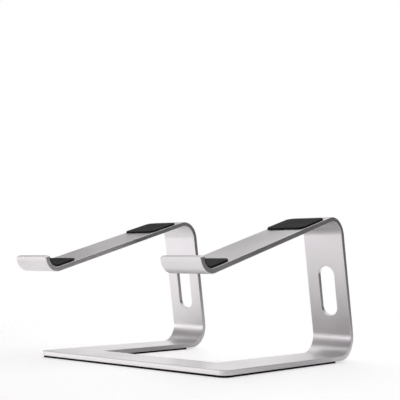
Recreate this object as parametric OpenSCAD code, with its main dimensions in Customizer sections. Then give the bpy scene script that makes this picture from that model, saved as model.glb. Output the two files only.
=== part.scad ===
// Laptop stand: a flat crossbar and two legs, each one strip of plate bent into
// a foot, a leaning riser, a sloping arm and a front hook. A tongue on each foot
// is screwed into a pocket under the crossbar. The origin is at the middle of
// the footprint on the desk, +X to the user's right, +Y to the back, +Z up.

/* [Overall] */
// Width across both legs
stand_w = 260; // [240:1:320]
// Height of the shoulders above the desk
stand_h = 154; // [148:1:170]
// Depth on the desk, from the crossbar's front edge to the back of the heels
base_d = 220; // [205:1:240]
// How far the hooks reach out in front of the crossbar
hook_reach = 35.5; // [28:0.5:45]

/* [Plate] */
// Thickness of the aluminium plate
plate_t = 5; // [4.5:0.5:6]
// Width of each bent strip
strip_w = 49; // [46:1:60]
// Chamfer on the long edges of the plate
edge = 0.5; // [0.2:0.1:0.8]

/* [Legs] */
// Forward lean of the riser from upright
lean = 10; // [5:0.5:13]
// Slope of the arm, rising to the back
slope = 16; // [12:0.5:20]
// Outer radius of the heel bend
heel_r = 24; // [16:1:28]
// Outer radius of the shoulder bend
shoulder_r = 22; // [16:1:26]
// Outer radius of the hook bend
hook_r = 15.5; // [13:0.5:18]
// Angle that the hook turns through
hook_turn = 93; // [88:1:98]
// Straight lip above the hook bend
lip = 3.5; // [2:0.5:8]
// Width of the slot in the riser
slot_w = 20; // [10:1:26]
// End to end length of the slot
slot_len = 55; // [35:1:60]
// Height of the slot's middle, along the riser from the heel bend
slot_up = 46.5; // [40:0.5:52]

/* [Crossbar] */
// Depth of the crossbar, front to back
crossbar_d = 48; // [42:1:60]
// Radius of its front corners
corner_r = 8; // [4:1:15]

/* [Joint] */
// Width of the tongue on each foot
tongue_w = 37; // [32:1:40]
// Length of the tongue
tongue_len = 22; // [16:1:26]
// Thickness of the tongue
tongue_t = 2; // [1.8:0.1:2.4]
// Clearance round the tongue in its pocket
pocket_gap = 0.2; // [0.1:0.05:0.4]
// Distance between the two screws of a joint
screw_gap = 22; // [16:1:24]
// Shank diameter of the screws
screw_d = 3; // [2.5:0.5:3]
// Length of the screws, head included
screw_len = 4; // [3.6:0.1:4.1]

/* [Pads] */
// Thickness of the rubber under the base
base_pad_t = 2; // [1:0.5:3]
// Thickness of the silicone on the arms and in the hooks
arm_pad_t = 2; // [1:0.5:3]
// How far each pad stays in from the edges of the metal
pad_inset = 1.2; // [0.8:0.1:3]
// Diameter of the holes in the crossbar pad that clear the screw heads
access_d = 8; // [7:0.5:10]
// Gap between the end of a foot pad and the heel bend
foot_pad_gap = 6; // [0:1:20]
// Length of the hook pad up the arm
hook_pad_len = 26; // [15:1:40]
// Length of the arm pad
arm_pad_len = 44; // [20:1:60]
// Gap between the arm pad and the shoulder bend
arm_pad_gap = 8; // [4:1:20]

/* [Hidden] */
$fn = 96;

// Depth by which a cutter runs past the face it opens
cut = 1;
// Every bend is fuller than the straights all round by swell, and they run on
// into it by lap, so that each join is a clean overlap
swell = 0.01;
lap = 0.2;

// A leg is laid out in side view as [y, z], with y = 0 at the crossbar's front
// edge and z = 0 on the desk. Angles are measured from +y towards +z.
heel_c = [base_d - heel_r, base_pad_t + heel_r];
shoulder_z = stand_h - shoulder_r;
shoulder_c = [
  heel_c[0] + (heel_r - shoulder_r + sin(lean) * (heel_c[1] - shoulder_z)) / cos(lean),
  shoulder_z
];
foot_len = heel_c[0] - crossbar_d;
riser_len = (shoulder_c - heel_c) * [-sin(lean), cos(lean)];

// The hook's outer arc runs on from the underside of the arm
lip_a = hook_turn - slope;
hook_y = hook_r * sin(lip_a) + lip * cos(lip_a) - hook_reach;
hook_rise = shoulder_r - plate_t + hook_r;
hook_c = [
  hook_y,
  shoulder_c[1] + (hook_rise + sin(slope) * (hook_y - shoulder_c[0])) / cos(slope)
];
arm_len = (shoulder_c - hook_c) * [cos(slope), sin(slope)];

// Angles about an arc's centre at which the arm, the hook and its lip start
arm_a = 90 + slope;
hook_a = 270 + slope;
hook_lip_a = 270 - lip_a;

// Middle of the footprint in side view, and of each leg across the stand
mid_y = (base_d - hook_reach) / 2;
leg_x = (stand_w - strip_w) / 2;

// Joint between foot and crossbar. fit is the room over the tongue and round the
// screws' shanks, and the screw holes are deeper than the screws by twice that.
fit = 0.1;
tongue_r = 3;
pocket_t = tongue_t + fit;
screw_y = crossbar_d - tongue_len / 2;
clear_r = screw_d / 2 + fit;
hole_deep = screw_len + 2 * fit;

// Screws: radius of the head, chamfer at the tip, and the hexagon socket's width
// across flats and depth
head_r = screw_d;
tip = 0.4;
socket_w = 2;
socket_deep = 1.1;

// Pads. The hook pad's bend is fuller by swell too, so its straights stay off
// the metal by the two swells together.
pad_w = strip_w - 2 * pad_inset;
pad_r = 6;
pad_gap = 2 * swell;
pad_face = hook_r - plate_t - pad_gap - arm_pad_t;
lip_pad = lip - pad_inset;

metal = [0.80, 0.80, 0.82];
rubber = [0.10, 0.10, 0.11];
steel = [0.45, 0.46, 0.48];

// Section of the plate, grown all round by g: its thickness along x from 0, its
// width w along y
module section(w, g = 0) {
  h = w / 2 + g;
  t = plate_t + g;
  polygon([
    [edge - g, -h], [t - edge, -h], [t, edge - h], [t, h - edge],
    [t - edge, h], [edge - g, h], [-g, h - edge], [-g, edge - h]
  ]);
}

// Outline w wide from y = 0 to y = l, with both far corners rounded
module tab(w, l, r) {
  for (x = [-1, 1] * (w / 2 - r)) translate([x, l - r]) circle(r);
  translate([-w / 2, 0]) square([w, l - r]);
  translate([r - w / 2, 0]) square([w - 2 * r, l]);
}

// Puts a side view, drawn in x and y with its width along z, into the stand
module side_view(x) translate([x, -mid_y, 0]) rotate([90, 0, 90]) children();

// Frame of an arc's end in side view: x away from its centre, y along the strip
module at_end(centre, angle) translate(centre) rotate(angle) children();

// The strip is drawn along y from the origin, its outer face at x = 0, and
// each stretch of it carries its children on at its far end.
module straight(len, before = lap, after = lap) {
  translate([-plate_t, -before, 0])
    rotate([-90, 0, 0]) linear_extrude(before + len + after) section(strip_w);
  translate([0, len, 0]) children();
}

// A bend away from the outer face, with outer radius r
module bend(r, a) translate([-r, 0, 0]) {
  rotate_extrude(angle = a) translate([r - plate_t, 0]) section(strip_w, swell);
  rotate(a) translate([r, 0, 0]) children();
}

// A bend the other way, which puts the outer face inside
module bend_back(r, a) translate([r - plate_t, 0, 0]) {
  rotate(180 - a) rotate_extrude(angle = a) translate([r - plate_t, 0]) section(strip_w, swell);
  rotate(-a) translate([plate_t - r, 0, 0]) children();
}

// A tab that points forwards from a little behind the crossbar's rear edge
module front_tab(x, z, w, l, t, behind)
  translate([x, crossbar_d - mid_y + behind, z])
    rotate(180) linear_extrude(t) tab(w, l + behind, tongue_r);

// Cutter for the slot, centred on the middle of the plate's thickness
module slot_cutter() {
  reach = plate_t + 2 * cut;
  run = slot_len - slot_w;
  cube([reach, run, slot_w], center = true);
  for (y = [-1, 1] * run / 2)
    translate([0, y, 0]) rotate([0, 90, 0]) cylinder(d = slot_w, h = reach, center = true);
}

// Countersunk clearance hole through the tongue
module clearance_hole()
  rotate_extrude() polygon([
    [0, -cut], [head_r, -cut], [head_r, 0], [clear_r, head_r - clear_r],
    [clear_r, tongue_t + cut], [0, tongue_t + cut]
  ]);

module at_screws(x)
  for (side = [-1, 1])
    translate([x + side * screw_gap / 2, screw_y - mid_y, base_pad_t]) children();

module leg(x) color(metal) difference() {
  union() {
    side_view(x) translate([crossbar_d, base_pad_t]) rotate(-90)
      straight(foot_len, before = 0)
        bend(heel_r, 90 + lean)
          straight(riser_len)
            bend(shoulder_r, arm_a - lean)
              straight(arm_len)
                bend_back(hook_r, hook_turn)
                  straight(lip, after = 0);
    front_tab(x, base_pad_t, tongue_w, tongue_len, tongue_t, cut);
  }
  side_view(x) at_end(heel_c, lean) translate([heel_r - plate_t / 2, slot_up, 0]) slot_cutter();
  at_screws(x) clearance_hole();
}

module crossbar() color(metal) difference() {
  translate([0, -mid_y, base_pad_t]) {
    translate([corner_r - stand_w / 2, 0, 0])
      rotate([90, 0, 90]) linear_extrude(stand_w - 2 * corner_r) polygon([
        [edge, 0], [crossbar_d, 0], [crossbar_d, plate_t],
        [edge, plate_t], [0, plate_t - edge], [0, edge]
      ]);
    translate([0, corner_r, 0])
      rotate([0, -90, -90]) linear_extrude(crossbar_d - corner_r) section(stand_w);
    for (x = [-1, 1] * (stand_w / 2 - corner_r))
      translate([x, corner_r, 0]) rotate_extrude() polygon([
        [0, 0], [corner_r - edge, 0], [corner_r, edge],
        [corner_r, plate_t - edge], [corner_r - edge, plate_t], [0, plate_t]
      ]);
  }
  for (x = [-1, 1] * leg_x) {
    front_tab(x, base_pad_t - cut, tongue_w + 2 * pocket_gap, tongue_len + pocket_gap,
      pocket_t + cut, cut);
    at_screws(x) cylinder(d = screw_d, h = hole_deep);
  }
}

module screw(x) color(steel)
  translate([x, screw_y - mid_y, base_pad_t]) difference() {
    rotate_extrude() polygon([
      [0, 0], [head_r, 0], [screw_d / 2, head_r - screw_d / 2],
      [screw_d / 2, screw_len - tip], [screw_d / 2 - tip, screw_len], [0, screw_len]
    ]);
    translate([0, 0, -cut]) cylinder(d = socket_w / cos(30), h = socket_deep + cut, $fn = 6);
  }

module crossbar_pad() color(rubber) difference() {
  translate([0, crossbar_d - mid_y, 0]) rotate(180) linear_extrude(base_pad_t)
    tab(stand_w - 2 * pad_inset, crossbar_d - pad_inset, corner_r - pad_inset);
  for (x = [-1, 1] * leg_x)
    at_screws(x) cylinder(d = access_d, h = 3 * base_pad_t, center = true);
}

module foot_pad(x) color(rubber)
  translate([x, crossbar_d - mid_y, 0]) linear_extrude(base_pad_t)
    tab(pad_w, foot_len - foot_pad_gap, pad_r);

module hook_pad(x) color(rubber) side_view(x) {
  at_end(hook_c, hook_lip_a) {
    rotate_extrude(angle = hook_turn)
      translate([pad_face - swell, -pad_w / 2 - swell])
        square([arm_pad_t + pad_gap, pad_w + pad_gap]);
    translate([pad_face, -lip_pad, -pad_w / 2]) cube([arm_pad_t, lip_pad + lap, pad_w]);
  }
  at_end(hook_c, hook_a) translate([pad_face, -lap, 0])
    rotate([0, 90, 0]) linear_extrude(arm_pad_t) tab(pad_w, lap + hook_pad_len, pad_r);
}

module arm_pad(x) color(rubber)
  side_view(x) at_end(shoulder_c, arm_a)
    translate([shoulder_r, arm_pad_gap + arm_pad_len / 2, 0])
      rotate([0, 90, 0]) linear_extrude(arm_pad_t) {
        tab(pad_w, arm_pad_len / 2, pad_r);
        mirror([0, 1]) tab(pad_w, arm_pad_len / 2, pad_r);
      }

crossbar();
leg(-leg_x);  // left_leg
leg(leg_x);  // right_leg
screw(-leg_x - screw_gap / 2);  // left_outer_screw
screw(-leg_x + screw_gap / 2);  // left_inner_screw
screw(leg_x - screw_gap / 2);  // right_inner_screw
screw(leg_x + screw_gap / 2);  // right_outer_screw
crossbar_pad();
foot_pad(-leg_x);  // left_foot_pad
foot_pad(leg_x);  // right_foot_pad
hook_pad(-leg_x);  // left_hook_pad
hook_pad(leg_x);  // right_hook_pad
arm_pad(-leg_x);  // left_arm_pad
arm_pad(leg_x);  // right_arm_pad
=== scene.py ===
import math
from collections import namedtuple

import bmesh
import bpy
from mathutils import Matrix, Vector


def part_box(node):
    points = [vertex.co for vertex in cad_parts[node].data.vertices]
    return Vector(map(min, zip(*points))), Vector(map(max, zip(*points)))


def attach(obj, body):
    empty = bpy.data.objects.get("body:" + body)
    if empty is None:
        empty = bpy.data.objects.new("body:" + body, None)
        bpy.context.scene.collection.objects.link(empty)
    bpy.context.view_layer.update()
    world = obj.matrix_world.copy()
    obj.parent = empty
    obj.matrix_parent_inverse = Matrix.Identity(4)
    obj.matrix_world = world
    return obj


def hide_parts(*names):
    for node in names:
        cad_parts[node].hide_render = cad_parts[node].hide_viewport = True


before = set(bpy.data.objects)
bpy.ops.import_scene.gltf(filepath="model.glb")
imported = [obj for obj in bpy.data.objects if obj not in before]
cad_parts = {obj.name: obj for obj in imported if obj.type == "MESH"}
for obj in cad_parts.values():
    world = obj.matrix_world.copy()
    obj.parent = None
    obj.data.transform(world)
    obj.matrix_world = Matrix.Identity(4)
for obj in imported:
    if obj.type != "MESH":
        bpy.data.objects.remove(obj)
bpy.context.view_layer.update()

MM = 0.001

# Angles, outer bend radii and lip of the leg. Its other sizes are read from the frame.
LEAN = math.radians(10)
SLOPE = math.radians(16)
HOOK_TURN = math.radians(93)
HEEL_R = 24 * MM
SHOULDER_R = 22 * MM
HOOK_R = 15.5 * MM
LIP = 3.5 * MM

# Slot in the riser: its middle along the riser from the heel bend, and its size
SLOT_UP = 46.5 * MM
SLOT_WIDTH = 20 * MM
SLOT_LENGTH = 55 * MM

# Corner radii in plan
CROSSBAR_CORNER = 8 * MM
LIP_CORNER = 2 * MM
BUTT_CORNER = 0.7 * MM
TONGUE_CORNER = 3 * MM
PAD_CORNER = 6 * MM

# Eased edges, as the radius of a quarter round
METAL_EDGE = 0.5 * MM
BUTT_EDGE = 0.15 * MM
PAD_EDGE = 0.4 * MM
BASE_PAD_EDGE = 0.25 * MM

# Joint between foot and crossbar
TONGUE_WIDTH = 37 * MM
TONGUE_LENGTH = 22 * MM
TONGUE_THICKNESS = 2 * MM
TONGUE_ROOT = 3 * MM
POCKET_GAP = 0.2 * MM
POCKET_DEPTH = 2.1 * MM
SCREW_HEAD_R = 3.05 * MM
SCREW_HOLE_R = 1.6 * MM
SCREW_HOLE_DEPTH = 4.2 * MM
ACCESS_R = 4 * MM

# Silicone on the arm: its thickness, the hook pad's length up the arm and how far it stops
# short of the lip's end, and the arm pad's gap to the shoulder bend and its length
SILICONE_THICKNESS = 2 * MM
HOOK_PAD_RUN = 26 * MM
HOOK_PAD_SHORT = 1.2 * MM
ARM_PAD_GAP = 8 * MM
ARM_PAD_RUN = 44 * MM

# Mesh density: steps round a bend, along a straight, round a corner in plan and round an
# eased edge, the places of a row's points from its inner to its outer end, how far past the
# slot's ends rows still start from the slot, and the sides of a round hole
BEND_STEP = math.radians(2.5)
STRAIGHT_STEP = 14 * MM
ROUND_STEP = math.radians(7.5)
EDGE_STEPS = 4
COLUMNS = [0, 0.25, 0.5, 0.75, 1]
SLOT_MARGIN = 3 * MM
HOLE_SEGMENTS = 48

# Edges sharper than this aren't shaded as round
SHARP = math.radians(40)

# Decimals to which two corners count as one, and a difference too small to count
SAME_PLACE = 7
TINY = 1e-6

# How far a cutter runs past what it cuts through
CUT_PAST = 1 * MM

# Camera
CAMERA_PLACE = Vector((0.6355, -0.7126, 0.0986))
CAMERA_AZIMUTH = math.radians(40.91)
CAMERA_UP = math.radians(4.40)
CAMERA_ROLL = math.radians(0.67)
CAMERA_LENS = 79.4
CAMERA_NEAR = 10 * MM

# Floor: its size, the distances over which it fades into the white room, how far it lies below
# the pads, and how near to it a ray may start and still pass through
FLOOR_RADIUS = 1.2
FLOOR_SEGMENTS = 128
FLOOR_FADE = (0.32, 0.75)
FLOOR_DROP = 0.05 * MM
FLOOR_NEAR = 3.5 * MM

# Its glow, and the oval of painted shade on it under the stand: how the oval is squeezed to a
# circle, its middle after that, and the distances from there over which it fades
FLOOR_GLOW = 0.40
SHADE_SHAPE = (0.65, 1, 1)
SHADE_MIDDLE = Vector((0, 0.05, 0))
SHADE_FADE = (0.03, 0.17)

# Light from the room: the way to its bright side, its strength on the dark and on the bright
# side, the share of it that is left high up and low down, and the heights between which that
# share sets in, where 1 is straight up
ROOM_SIDE = Vector((-0.9, -0.42, 0))
ROOM_STRENGTH = (0.05, 1.57)
ROOM_HIGH = 0.25
ROOM_HIGH_FADE = (0.03, 0.3)
ROOM_LOW = 0.45
ROOM_LOW_FADE = (-0.3, -0.08)

# Softboxes: place, width and height, and power. They all point at one place.
SOFTBOXES = {
    "key": ((0.15, 0.35, 1.3), (2.8, 2.4), 18),
    "back": ((-0.9, 1.0, 0.35), (0.7, 0.5), 0.9),
    "front": ((-1.0, -1.1, 0.1), (0.9, 0.2), 0.75),
}
SOFTBOX_TARGET = Vector((0, 0, 0.05))

# Taken from the frame: the crossbar's box, and half the thickness of the metal plate
BAR_LOW, BAR_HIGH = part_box("crossbar")
HALF_PLATE = (BAR_HIGH.z - BAR_LOW.z) / 2


# ---------------------------------------------------------------- side view

class Path:
    """A line in side view, made of straights and bends and walked by distance from its start."""

    def __init__(self, y, z, heading):
        self.parts = []
        self.end = (y, z, heading)
        self.length = 0.0

    def add(self, length, turn=0.0):
        """A straight, or a bend that turns by that angle, anticlockwise if positive."""
        self.parts.append((self.length, self.end, length, turn))
        self.end = self.walk(self.end, length, turn, length)
        self.length += length

    @staticmethod
    def walk(start, length, turn, distance):
        """y, z and heading after a distance along a part that starts there."""
        y, z, heading = start
        if not turn:
            return y + distance * math.cos(heading), z + distance * math.sin(heading), heading
        radius = length / turn
        ahead = heading + distance / radius
        return (
            y + radius * (math.sin(ahead) - math.sin(heading)),
            z - radius * (math.cos(ahead) - math.cos(heading)),
            ahead,
        )

    def at(self, s):
        """y, z and heading at distance s; before the start it runs on straight."""
        for first, start, length, turn in reversed(self.parts):
            if s >= first or first == 0:
                return self.walk(start, length, turn if s >= 0 else 0.0, s - first)

    def stops(self, low, high):
        """Distances from low to high that a mesh needs rows at."""
        found = {low, high}
        for first, _, length, turn in self.parts:
            step = length * BEND_STEP / abs(turn) if turn else STRAIGHT_STEP
            count = max(1, math.ceil(length / step - TINY))
            found.update(first + length * i / count for i in range(count + 1))
        in_range = sorted(s for s in found if low <= s <= high)
        return [s for i, s in enumerate(in_range) if i == 0 or s - in_range[i - 1] > TINY]


def leg_path():
    """The middle of the leg's plate, from the foot's front end to the tip of the hook."""
    low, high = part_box("left_leg")

    # Centres of the bends, as (y, z)
    heel = Vector((high.y - HEEL_R, BAR_LOW.z + HEEL_R))
    shoulder = Vector((0, high.z - SHOULDER_R))
    lean_over = HEEL_R - SHOULDER_R + math.sin(LEAN) * (heel.y - shoulder.y)
    shoulder.x = heel.x + lean_over / math.cos(LEAN)
    lip_turn = HOOK_TURN - SLOPE
    hook = Vector((low.y + HOOK_R * math.sin(lip_turn) + LIP * math.cos(lip_turn), 0))
    rise = SHOULDER_R - 2 * HALF_PLATE + HOOK_R
    hook.y = shoulder.y + (rise + math.sin(SLOPE) * (hook.x - shoulder.x)) / math.cos(SLOPE)

    riser = (shoulder - heel).dot(Vector((-math.sin(LEAN), math.cos(LEAN))))
    arm = (shoulder - hook).dot(Vector((math.cos(SLOPE), math.sin(SLOPE))))
    heel_turn = math.pi / 2 + LEAN
    shoulder_turn = math.pi / 2 + SLOPE - LEAN

    path = Path(BAR_HIGH.y, BAR_LOW.z + HALF_PLATE, 0.0)
    path.add(heel.x - BAR_HIGH.y)
    path.add((HEEL_R - HALF_PLATE) * heel_turn, heel_turn)
    path.riser_start = path.length
    path.add(riser)
    path.add((SHOULDER_R - HALF_PLATE) * shoulder_turn, shoulder_turn)
    path.arm_start = path.length
    path.add(arm)
    path.hook_start = path.length
    path.add((HOOK_R - HALF_PLATE) * HOOK_TURN, -HOOK_TURN)
    path.add(LIP)
    return path


def crossbar_path():
    """The middle of the crossbar's plate, from its rear edge to its front edge."""
    path = Path(BAR_HIGH.y, BAR_LOW.z + HALF_PLATE, math.pi)
    path.add(BAR_HIGH.y - BAR_LOW.y)
    return path


# ------------------------------------------------------------------- plates

# A place on a plate's outline at x and distance s, its outward direction and its ease
Station = namedtuple("Station", "x s out_x out_s ease")


class Blank:
    """Faces of a flat plate, each corner given as x, distance s and height n, laid along a path."""

    def __init__(self, path, x_mid):
        self.path = path
        self.x_mid = x_mid
        self.bm = bmesh.new()
        self.flat = self.bm.verts.layers.float_vector.new("blank")
        self.known = {}

    def vert(self, x, s, n):
        key = tuple(round(number, SAME_PLACE) for number in (x, s, n))
        if key not in self.known:
            y, z, heading = self.path.at(s)
            place = (self.x_mid + x, y + n * math.sin(heading), z - n * math.cos(heading))
            self.known[key] = self.bm.verts.new(place)
            self.known[key][self.flat] = (self.x_mid + x, s, n)
        return self.known[key]

    def face(self, corners, material):
        verts = list(dict.fromkeys(self.vert(*c) for c in corners))
        if len(verts) > 2:
            made = self.bm.faces.new(verts)
            made.material_index = material
            made.smooth = True


def edge_profile(low, high, ease):
    """(inset, height) round an eased edge, from the upper face to the lower one."""
    turns = [math.pi / 2 * k / EDGE_STEPS for k in range(EDGE_STEPS + 1)]
    upper = [(ease * (1 - math.sin(a)), high - ease * (1 - math.cos(a))) for a in turns]
    return upper + [(depth, low + high - height) for depth, height in reversed(upper)]


def arc(start, end):
    """Angles from start to end, both included, in even steps."""
    count = max(1, round(abs(end - start) / ROUND_STEP))
    return [start + (end - start) * i / count for i in range(count + 1)]


def inset(station, amount):
    return station.x - amount * station.out_x, station.s - amount * station.out_s


def between(inner, outer, share):
    return [a + (b - a) * share for a, b in zip(inner, outer)]


def slot_rows(rows, slot, half, ease):
    """The stations along half a slot, and the rows with those near the slot starting from it."""
    centre, run, radius = slot
    zone = run + radius + ease + SLOT_MARGIN
    kept = [row for row in rows if abs(row[1].s - centre) > zone]
    stations = []
    quarter = math.pi / 2
    for sign, angles in ((-1, arc(quarter, 0)), (1, arc(0, quarter))):
        for a in angles:
            out = (-math.cos(a), -sign * math.sin(a))
            place = (-radius * out[0], centre + sign * run - radius * out[1])
            station = Station(*place, *out, ease)
            reach = centre + sign * (run + (zone - run) * math.sin(a))
            stations.append(station)
            kept.append((inset(station, ease), Station(half, reach, 1, 0, ease)))
    kept.sort(key=lambda row: row[1].s)
    return stations, kept


def outline(path, half, span, corners, eases, slot):
    """One half of a plate's outline, from the middle of its first end to that of its last. It
    comes as the stations along it, the rows that reach them, each an inner point and a station,
    and the stations along the slot."""
    first, last = span
    first_r, last_r = corners
    first_ease, ease = eases
    quarter = math.pi / 2
    begin = [Station(f * (half - first_r), first, 0, -1, first_ease) for f in COLUMNS[:-1]]
    corner = []
    for a in arc(-quarter, 0):
        x = half - first_r + first_r * math.cos(a)
        s = first + first_r + first_r * math.sin(a)
        share = 1 + a / quarter
        here = first_ease + (ease - first_ease) * share
        corner.append(Station(x, s, math.cos(a), math.sin(a), here))
    stops = path.stops(first + first_r, last - last_r)[1:-1]
    side = [Station(half, s, 1, 0, ease) for s in stops]
    far = []
    for a in arc(0, quarter):
        x = half - last_r + last_r * math.cos(a)
        s = last - last_r + last_r * math.sin(a)
        far.append(Station(x, s, math.cos(a), math.sin(a), ease))
    finish = [Station(f * (half - last_r), last, 0, 1, ease) for f in reversed(COLUMNS[:-1])]
    rows = [((0, inset(station, station.ease)[1]), station) for station in corner + side + far]
    hole = []
    if slot:
        hole, rows = slot_rows(rows, slot, half, ease)
    return begin + [station for _, station in rows] + finish, rows, hole


def rim_faces(blank, loop, heights, sign):
    """Faces along a loop of stations, from the upper eased edge over the wall to the lower one."""
    for here, there in zip(loop, loop[1:]):
        near = edge_profile(*heights, here.ease)
        away = edge_profile(*heights, there.ease)
        for k in range(len(near) - 1):
            ring = ((here, near[k]), (here, near[k + 1]), (there, away[k + 1]), (there, away[k]))
            corners = []
            for station, (depth, height) in ring:
                x, s = inset(station, depth)
                corners.append((sign * x, s, height))
            blank.face(corners, 0 if k == EDGE_STEPS else 1)


def flat_faces(blank, rows, heights, sign):
    """Upper and lower faces between each row and the next."""
    lines = []
    for inner, station in rows:
        outer = inset(station, station.ease)
        lines.append([between(inner, outer, share) for share in COLUMNS])
    for here, there in zip(lines, lines[1:]):
        for j in range(len(COLUMNS) - 1):
            ring = (here[j], here[j + 1], there[j + 1], there[j])
            for height in heights:
                blank.face([(sign * x, s, height) for x, s in ring], 0)


def plate(path, x_mid, width, span, heights, ease, corners, first_ease=None, slot=None):
    """Mesh of a plate with eased edges, laid along a path. Material 1 is on its eased edges.
    span and corners go from its first end to its last; slot is its middle, half its straight
    run and its radius."""
    eases = (ease if first_ease is None else first_ease, ease)
    edge, rows, hole = outline(path, width / 2, span, corners, eases, slot)
    blank = Blank(path, x_mid)
    for sign in (1, -1):
        rim_faces(blank, edge, heights, sign)
        rim_faces(blank, hole, heights, sign)
        flat_faces(blank, rows, heights, sign)
    bmesh.ops.recalc_face_normals(blank.bm, faces=blank.bm.faces)
    mesh = bpy.data.meshes.new("plate")
    blank.bm.to_mesh(mesh)
    blank.bm.free()
    return mesh


def cylinder(centre, low, high, radius):
    """An upright cylinder from height low to high, to cut a hole with."""
    bm = bmesh.new()
    middle = Matrix.Translation((centre.x, centre.y, (low + high) / 2))
    bmesh.ops.create_cone(
        bm, cap_ends=True, segments=HOLE_SEGMENTS, radius1=radius, radius2=radius,
        depth=high - low, matrix=middle,
    )
    mesh = bpy.data.meshes.new("cylinder")
    bm.to_mesh(mesh)
    bm.free()
    return mesh


def combined(mesh, others, operation):
    """The mesh with each of the others added to it (UNION) or taken from it (DIFFERENCE)."""
    block = bpy.data.objects.new("block", mesh)
    bpy.context.scene.collection.objects.link(block)
    tools = []
    for other in others:
        tool = bpy.data.objects.new("tool", other)
        bpy.context.scene.collection.objects.link(tool)
        tools.append(tool)
        step = block.modifiers.new("step", "BOOLEAN")
        step.operation = operation
        step.solver = "EXACT"
        step.object = tool
    bpy.context.view_layer.update()
    evaluated = block.evaluated_get(bpy.context.evaluated_depsgraph_get())
    result = bpy.data.meshes.new_from_object(evaluated)
    for obj in [block] + tools:
        bpy.data.objects.remove(obj)
    return result


def piece(name, mesh, materials):
    """A finished piece that stands for the CAD node of the same name."""
    obj = bpy.data.objects.new(name + "_look", mesh)
    bpy.context.scene.collection.objects.link(obj)
    mesh.name = obj.name
    mesh.materials.clear()
    for material in materials:
        mesh.materials.append(material)
    for polygon in mesh.polygons:
        polygon.use_smooth = True
    mesh.set_sharp_from_angle(angle=SHARP)
    smooth = obj.modifiers.new("even shading", "WEIGHTED_NORMAL")
    smooth.mode = "FACE_AREA"
    smooth.keep_sharp = True
    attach(obj, "root")
    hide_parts(name)


# ---------------------------------------------------------------- materials
# Noise scales are in cells per metre, so 3200 is a grain of about 0.3 mm.

def shader(name):
    """A new material, its node tree and its Principled node."""
    material = bpy.data.materials.new(name)
    material.use_nodes = True
    return material, material.node_tree, material.node_tree.nodes["Principled BSDF"]


def put(tree, kind, inputs=None, **settings):
    """A new node with its settings and its inputs, given as values or as sockets to link."""
    node = tree.nodes.new(kind)
    for key, value in settings.items():
        setattr(node, key, value)
    for key, value in (inputs or {}).items():
        if isinstance(value, bpy.types.NodeSocket):
            tree.links.new(value, node.inputs[key])
        else:
            node.inputs[key].default_value = value
    return node


def maths(tree, operation, first, second):
    return put(tree, "ShaderNodeMath", {0: first, 1: second}, operation=operation).outputs[0]


def vector_maths(tree, operation, inputs):
    return put(tree, "ShaderNodeVectorMath", inputs, operation=operation).outputs["Value"]


def noise(tree, vector, scale, detail=2.0, rough=0.5):
    inputs = {"Vector": vector, "Scale": scale, "Detail": detail, "Roughness": rough}
    return put(tree, "ShaderNodeTexNoise", inputs).outputs["Fac"]


def ramp(tree, factor, low, high, start=0.3, end=0.7):
    """Maps a factor from start..end to low..high."""
    inputs = {"Value": factor, "From Min": start, "From Max": end, "To Min": low, "To Max": high}
    return put(tree, "ShaderNodeMapRange", inputs).outputs["Result"]


def blend(tree, factor, first, second):
    """The first colour where the factor is 0, and the second where it is 1."""
    node = put(tree, "ShaderNodeMix", {"Factor": factor}, data_type="RGBA")
    for socket, colour in (("A", first), ("B", second)):
        target = [i for i in node.inputs if i.name == socket and i.type == "RGBA"][0]
        if isinstance(colour, bpy.types.NodeSocket):
            tree.links.new(colour, target)
        else:
            target.default_value = (*colour, 1)
    return [o for o in node.outputs if o.type == "RGBA"][0]


def bump(tree, height, strength, distance, under=None):
    inputs = {"Height": height, "Strength": strength, "Distance": distance}
    if under is not None:
        inputs["Normal"] = under
    return put(tree, "ShaderNodeBump", inputs).outputs["Normal"]


def flat_coordinates(tree):
    """Place on the flat plate before it was bent, in metres."""
    return put(tree, "ShaderNodeAttribute", attribute_name="blank").outputs["Vector"]


def stretched(tree, vector, scale):
    return put(tree, "ShaderNodeMapping", {"Vector": vector, "Scale": scale}).outputs["Vector"]


def blasted_aluminium():
    """Bead blasted, clear anodised plate: a fine even grain over faint rolling lines."""
    material, tree, skin = shader("blasted_aluminium")
    place = flat_coordinates(tree)
    cloud = noise(tree, place, 18.0, 3.0)
    rolling = noise(tree, stretched(tree, place, (900, 14, 900)), 1.0)
    grain = noise(tree, place, 3200.0, 2.0, 0.6)
    tone = blend(tree, ramp(tree, cloud, 0, 1), (0.735, 0.722, 0.730), (0.80, 0.785, 0.79))
    tone = blend(tree, ramp(tree, grain, 0, 0.25), tone, (0.61, 0.60, 0.605))
    tree.links.new(tone, skin.inputs["Base Color"])
    gloss = maths(tree, "ADD", ramp(tree, cloud, 0.34, 0.43), ramp(tree, rolling, -0.03, 0.03))
    tree.links.new(gloss, skin.inputs["Roughness"])
    skin.inputs["Metallic"].default_value = 1.0
    relief = bump(tree, grain, 0.2, 0.05 * MM)
    relief = bump(tree, rolling, 0.1, 0.05 * MM, relief)
    tree.links.new(relief, skin.inputs["Normal"])
    return material


def eased_edge_painted_highlight():
    """Edges eased after blasting, so a little smoother than the faces; their lighter base colour is
    partly that finish and partly a painted highlight.
    """
    material, tree, skin = shader("eased_edge_painted_highlight")
    place = flat_coordinates(tree)
    marks = noise(tree, stretched(tree, place, (600, 60, 600)), 1.0, 3.0)
    # Base colour lighter than the faces': partly the eased finish, partly a painted highlight along
    # the edges
    tone = blend(tree, ramp(tree, marks, 0, 1), (0.91, 0.90, 0.905), (0.98, 0.97, 0.975))
    tree.links.new(tone, skin.inputs["Base Color"])
    tree.links.new(ramp(tree, marks, 0.20, 0.32), skin.inputs["Roughness"])
    skin.inputs["Metallic"].default_value = 1.0
    tree.links.new(bump(tree, marks, 0.06, 0.03 * MM), skin.inputs["Normal"])
    return material


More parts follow.
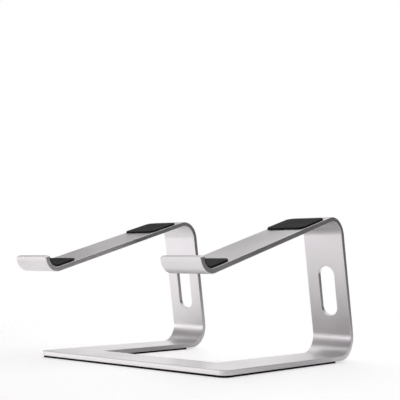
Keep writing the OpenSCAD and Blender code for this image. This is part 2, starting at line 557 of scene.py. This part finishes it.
def black_rubber(name, shade, roughness, grain_scale):
    """Moulded black rubber: matt, finely grained, with a little dust in the grain."""
    material, tree, skin = shader(name)
    place = flat_coordinates(tree)
    grain = noise(tree, place, grain_scale, 3.0, 0.6)
    patch = noise(tree, place, 45.0, 3.0)
    dark = (shade, shade, shade * 1.05)
    light = (shade * 2.2, shade * 2.2, shade * 2.25)
    tone = blend(tree, ramp(tree, patch, 0, 1), dark, light)
    specks = ramp(tree, noise(tree, place, 700.0, 1.0), 0, 0.12, 0.66, 0.78)
    tone = blend(tree, specks, tone, (0.16, 0.155, 0.15))
    tree.links.new(tone, skin.inputs["Base Color"])
    tree.links.new(ramp(tree, patch, roughness, roughness + 0.14), skin.inputs["Roughness"])
    skin.inputs["Specular IOR Level"].default_value = 0.18
    tree.links.new(bump(tree, grain, 0.25, 0.08 * MM), skin.inputs["Normal"])
    return material


def screw_steel():
    """Zinc plated steel with fine turning marks."""
    material, tree, skin = shader("zinc_plated_steel")
    place = put(tree, "ShaderNodeTexCoord").outputs["Object"]
    marks = noise(tree, stretched(tree, place, (300, 300, 5000)), 1.0)
    patch = noise(tree, place, 500.0)
    tone = blend(tree, ramp(tree, patch, 0, 1), (0.46, 0.46, 0.47), (0.58, 0.58, 0.57))
    tree.links.new(tone, skin.inputs["Base Color"])
    tree.links.new(ramp(tree, marks, 0.28, 0.42), skin.inputs["Roughness"])
    skin.inputs["Metallic"].default_value = 1.0
    tree.links.new(bump(tree, marks, 0.15, 0.03 * MM), skin.inputs["Normal"])
    return material


# ------------------------------------------------------------------- camera

def make_camera():
    data = bpy.data.cameras.new("camera")
    data.lens = CAMERA_LENS
    data.clip_start = CAMERA_NEAR
    camera = bpy.data.objects.new("camera", data)
    bpy.context.scene.collection.objects.link(camera)
    place = Matrix.Translation(CAMERA_PLACE)
    azimuth = Matrix.Rotation(CAMERA_AZIMUTH, 4, "Z")
    up = Matrix.Rotation(math.pi / 2 + CAMERA_UP, 4, "X")
    roll = Matrix.Rotation(CAMERA_ROLL, 4, "Z")
    camera.matrix_world = place @ (azimuth @ up) @ roll
    bpy.context.scene.camera = camera


# ------------------------------------------------------------------- pieces
# On the leg, heights above 0 are on the outer side of the bent strip: under the foot and on top
# of the arm. On the crossbar they are above the middle of its plate.

def screw_places(side=""):
    """The middle of each screw, or of those on one side."""
    names = [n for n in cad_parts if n.startswith(side) and n.endswith("_screw")]
    boxes = [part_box(name) for name in names]
    return [(low + high) / 2 for low, high in boxes]


def finish_screws(steel):
    """The screws keep their CAD shape and get the steel."""
    for name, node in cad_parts.items():
        if name.endswith("_screw"):
            node.data.materials.clear()
            node.data.materials.append(steel)


def make_leg(side, x_mid, leg, bar, materials):
    """The bent strip with its slot, its tongue, and the recesses for the screws' heads."""
    low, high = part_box(side + "_leg")
    slot = (leg.riser_start + SLOT_UP, (SLOT_LENGTH - SLOT_WIDTH) / 2, SLOT_WIDTH / 2)
    strip = plate(
        leg, x_mid, high.x - low.x, (0, leg.length), (-HALF_PLATE, HALF_PLATE),
        METAL_EDGE, (BUTT_CORNER, LIP_CORNER), BUTT_EDGE, slot,
    )
    tongue = plate(
        bar, x_mid, TONGUE_WIDTH, (-TONGUE_ROOT, TONGUE_LENGTH),
        (-HALF_PLATE, TONGUE_THICKNESS - HALF_PLATE), BUTT_EDGE, (BUTT_CORNER, TONGUE_CORNER),
    )
    holes = [cylinder(place, 0, BAR_HIGH.z, SCREW_HEAD_R) for place in screw_places(side)]
    whole = combined(strip, [tongue], "UNION")
    piece(side + "_leg", combined(whole, holes, "DIFFERENCE"), materials)


def make_foot_pad(side, x_mid, leg, materials):
    """Rubber strip under the foot, from the crossbar's pad to just short of the heel."""
    low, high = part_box(side + "_foot_pad")
    pad = plate(
        leg, x_mid, high.x - low.x, (0, high.y - low.y),
        (HALF_PLATE, HALF_PLATE + high.z - low.z), BASE_PAD_EDGE, (BUTT_CORNER, PAD_CORNER),
    )
    piece(side + "_foot_pad", pad, materials)


def silicone_pad(side, x_mid, leg, span, corners):
    """A pad on the arm's outer side, as wide as the hook's pad."""
    low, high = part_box(side + "_hook_pad")
    heights = (HALF_PLATE, HALF_PLATE + SILICONE_THICKNESS)
    return plate(leg, x_mid, high.x - low.x, span, heights, PAD_EDGE, corners)


def make_hook_pad(side, x_mid, leg, materials):
    """The liner from a little way up the arm to the hook's lip."""
    span = (leg.hook_start - HOOK_PAD_RUN, leg.length - HOOK_PAD_SHORT)
    pad = silicone_pad(side, x_mid, leg, span, (PAD_CORNER, LIP_CORNER))
    piece(side + "_hook_pad", pad, materials)


def make_arm_pad(side, x_mid, leg, materials):
    """The pad on top of the arm near the shoulder."""
    start = leg.arm_start + ARM_PAD_GAP
    pad = silicone_pad(side, x_mid, leg, (start, start + ARM_PAD_RUN), (PAD_CORNER, PAD_CORNER))
    piece(side + "_arm_pad", pad, materials)


def pocket(x_mid, bar):
    """What is cut from the crossbar for a tongue, open below and towards the leg."""
    return plate(
        bar, x_mid, TONGUE_WIDTH + 2 * POCKET_GAP, (-TONGUE_ROOT, TONGUE_LENGTH + POCKET_GAP),
        (-HALF_PLATE - POCKET_DEPTH, POCKET_DEPTH - HALF_PLATE), BUTT_EDGE,
        (BUTT_CORNER, TONGUE_CORNER),
    )


def make_crossbar(middles, bar, materials):
    """The crossbar with a pocket for each tongue and a hole for each screw."""
    whole = plate(
        bar, 0, BAR_HIGH.x - BAR_LOW.x, (0, bar.length), (-HALF_PLATE, HALF_PLATE),
        METAL_EDGE, (BUTT_CORNER, CROSSBAR_CORNER), BUTT_EDGE,
    )
    top = BAR_LOW.z + SCREW_HOLE_DEPTH
    cutters = [pocket(x_mid, bar) for x_mid in middles]
    cutters += [cylinder(place, 0, top, SCREW_HOLE_R) for place in screw_places()]
    piece("crossbar", combined(whole, cutters, "DIFFERENCE"), materials)


def make_crossbar_pad(bar, materials):
    """The mat under the crossbar, with round holes through which the screws are put in."""
    low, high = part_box("crossbar_pad")
    pad = plate(
        bar, 0, high.x - low.x, (0, high.y - low.y),
        (low.z - BAR_LOW.z - HALF_PLATE, -HALF_PLATE), BASE_PAD_EDGE,
        (BUTT_CORNER, CROSSBAR_CORNER - (low.y - BAR_LOW.y)),
    )
    places = screw_places()
    holes = [cylinder(c, low.z - CUT_PAST, high.z + CUT_PAST, ACCESS_R) for c in places]
    piece("crossbar_pad", combined(pad, holes, "DIFFERENCE"), materials)


def make_pieces():
    """Every piece. A list of two materials is for the faces and for the eased edges."""
    metal = [blasted_aluminium(), eased_edge_painted_highlight()]
    rubber = [black_rubber("matt_rubber", 0.006, 0.72, 1500.0)] * 2
    silicone = [black_rubber("soft_silicone", 0.005, 0.6, 2400.0)] * 2
    finish_screws(screw_steel())
    leg = leg_path()
    bar = crossbar_path()
    middles = []
    for side in ("left", "right"):
        low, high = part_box(side + "_leg")
        x_mid = (low.x + high.x) / 2
        middles.append(x_mid)
        make_leg(side, x_mid, leg, bar, metal)
        make_foot_pad(side, x_mid, leg, rubber)
        make_hook_pad(side, x_mid, leg, silicone)
        make_arm_pad(side, x_mid, leg, silicone)
    make_crossbar(middles, bar, metal)
    make_crossbar_pad(bar, rubber)


# ------------------------------------------------------------------- studio

def floor_material():
    """White that glows. Only reflections and bounced light see a painted shade under the stand,
    where it is darker and doesn't glow. It fades out into the white room, and is clear from below
    and to rays that start close to it, so that the underside shows."""
    material, tree, skin = shader("floor")
    place = put(tree, "ShaderNodeTexCoord").outputs["Object"]
    away = vector_maths(tree, "LENGTH", {0: place})
    squeezed = stretched(tree, place, SHADE_SHAPE)
    under = vector_maths(tree, "DISTANCE", {0: squeezed, 1: SHADE_MIDDLE})
    weave = noise(tree, place, 260.0, 3.0)
    tone = blend(tree, ramp(tree, weave, 0, 1), (0.90, 0.895, 0.905), (0.93, 0.925, 0.935))
    ray = put(tree, "ShaderNodeLightPath").outputs
    # Painted shade: under the stand, reflections and bounced light see a darker floor that doesn't
    # glow
    outside_painted_shade = ramp(tree, under, 0, 1, *SHADE_FADE)
    bright = maths(tree, "MAXIMUM", ray["Is Camera Ray"], outside_painted_shade)
    shaded = blend(tree, bright, (0.50, 0.49, 0.50), tone)
    tree.links.new(shaded, skin.inputs["Base Color"])
    tree.links.new(ramp(tree, bright, 0, FLOOR_GLOW, 0, 1), skin.inputs["Emission Strength"])
    skin.inputs["Emission Color"].default_value = (1, 1, 1, 1)
    skin.inputs["Roughness"].default_value = 0.6
    skin.inputs["Specular IOR Level"].default_value = 0.3
    clear = put(tree, "ShaderNodeBsdfTransparent").outputs[0]
    from_below = put(tree, "ShaderNodeNewGeometry").outputs["Backfacing"]
    in_contact = maths(tree, "LESS_THAN", ray["Ray Length"], FLOOR_NEAR)
    see_through = maths(tree, "MAXIMUM", from_below, in_contact)
    share = maths(tree, "MAXIMUM", ramp(tree, away, 0, 1, *FLOOR_FADE), see_through)
    mix = put(tree, "ShaderNodeMixShader", {0: share, 1: skin.outputs[0], 2: clear}).outputs[0]
    tree.links.new(mix, tree.nodes["Material Output"].inputs["Surface"])
    return material


def make_floor():
    """A round white table."""
    bm = bmesh.new()
    bmesh.ops.create_circle(bm, cap_ends=True, segments=FLOOR_SEGMENTS, radius=FLOOR_RADIUS)
    mesh = bpy.data.meshes.new("floor")
    bm.to_mesh(mesh)
    bm.free()
    floor = bpy.data.objects.new("floor", mesh)
    bpy.context.scene.collection.objects.link(floor)
    mesh.materials.append(floor_material())
    floor.location.z = -FLOOR_DROP


def make_softbox(name, place, size, power):
    data = bpy.data.lights.new(name, "AREA")
    data.shape = "RECTANGLE"
    data.size, data.size_y = size
    data.energy = power
    lamp = bpy.data.objects.new(name, data)
    bpy.context.scene.collection.objects.link(lamp)
    lamp.location = place
    aim = SOFTBOX_TARGET - Vector(place)
    lamp.rotation_euler = aim.to_track_quat("-Z", "Y").to_euler()


def make_world():
    """White to look at, and a room to be lit by that is brightest low at the front left."""
    world = bpy.data.worlds.new("studio")
    bpy.context.scene.world = world
    world.use_nodes = True
    tree = world.node_tree
    tree.nodes.clear()
    way = put(tree, "ShaderNodeTexCoord").outputs["Generated"]
    facing = vector_maths(tree, "DOT_PRODUCT", {0: way, 1: ROOM_SIDE})
    height = put(tree, "ShaderNodeSeparateXYZ", {0: way}).outputs["Z"]
    side = ramp(tree, facing, *ROOM_STRENGTH, -0.9, 1.0)
    above = ramp(tree, height, 1, ROOM_HIGH, *ROOM_HIGH_FADE)
    below = ramp(tree, height, ROOM_LOW, 1, *ROOM_LOW_FADE)
    level = maths(tree, "MULTIPLY", maths(tree, "MULTIPLY", side, above), below)
    white = {"Color": (1, 1, 1, 1), "Strength": 1.0}
    tinted = {"Color": (1.0, 0.96, 0.985, 1), "Strength": level}
    seen = put(tree, "ShaderNodeBackground", white).outputs[0]
    room = put(tree, "ShaderNodeBackground", tinted).outputs[0]
    straight = put(tree, "ShaderNodeLightPath").outputs["Is Camera Ray"]
    mix = put(tree, "ShaderNodeMixShader", {0: straight, 1: room, 2: seen}).outputs[0]
    put(tree, "ShaderNodeOutputWorld", {"Surface": mix})


def make_studio():
    make_floor()
    make_world()
    for name, (place, size, power) in SOFTBOXES.items():
        make_softbox(name, place, size, power)
    bpy.context.scene.view_settings.view_transform = "Standard"


make_camera()
make_pieces()
make_studio()
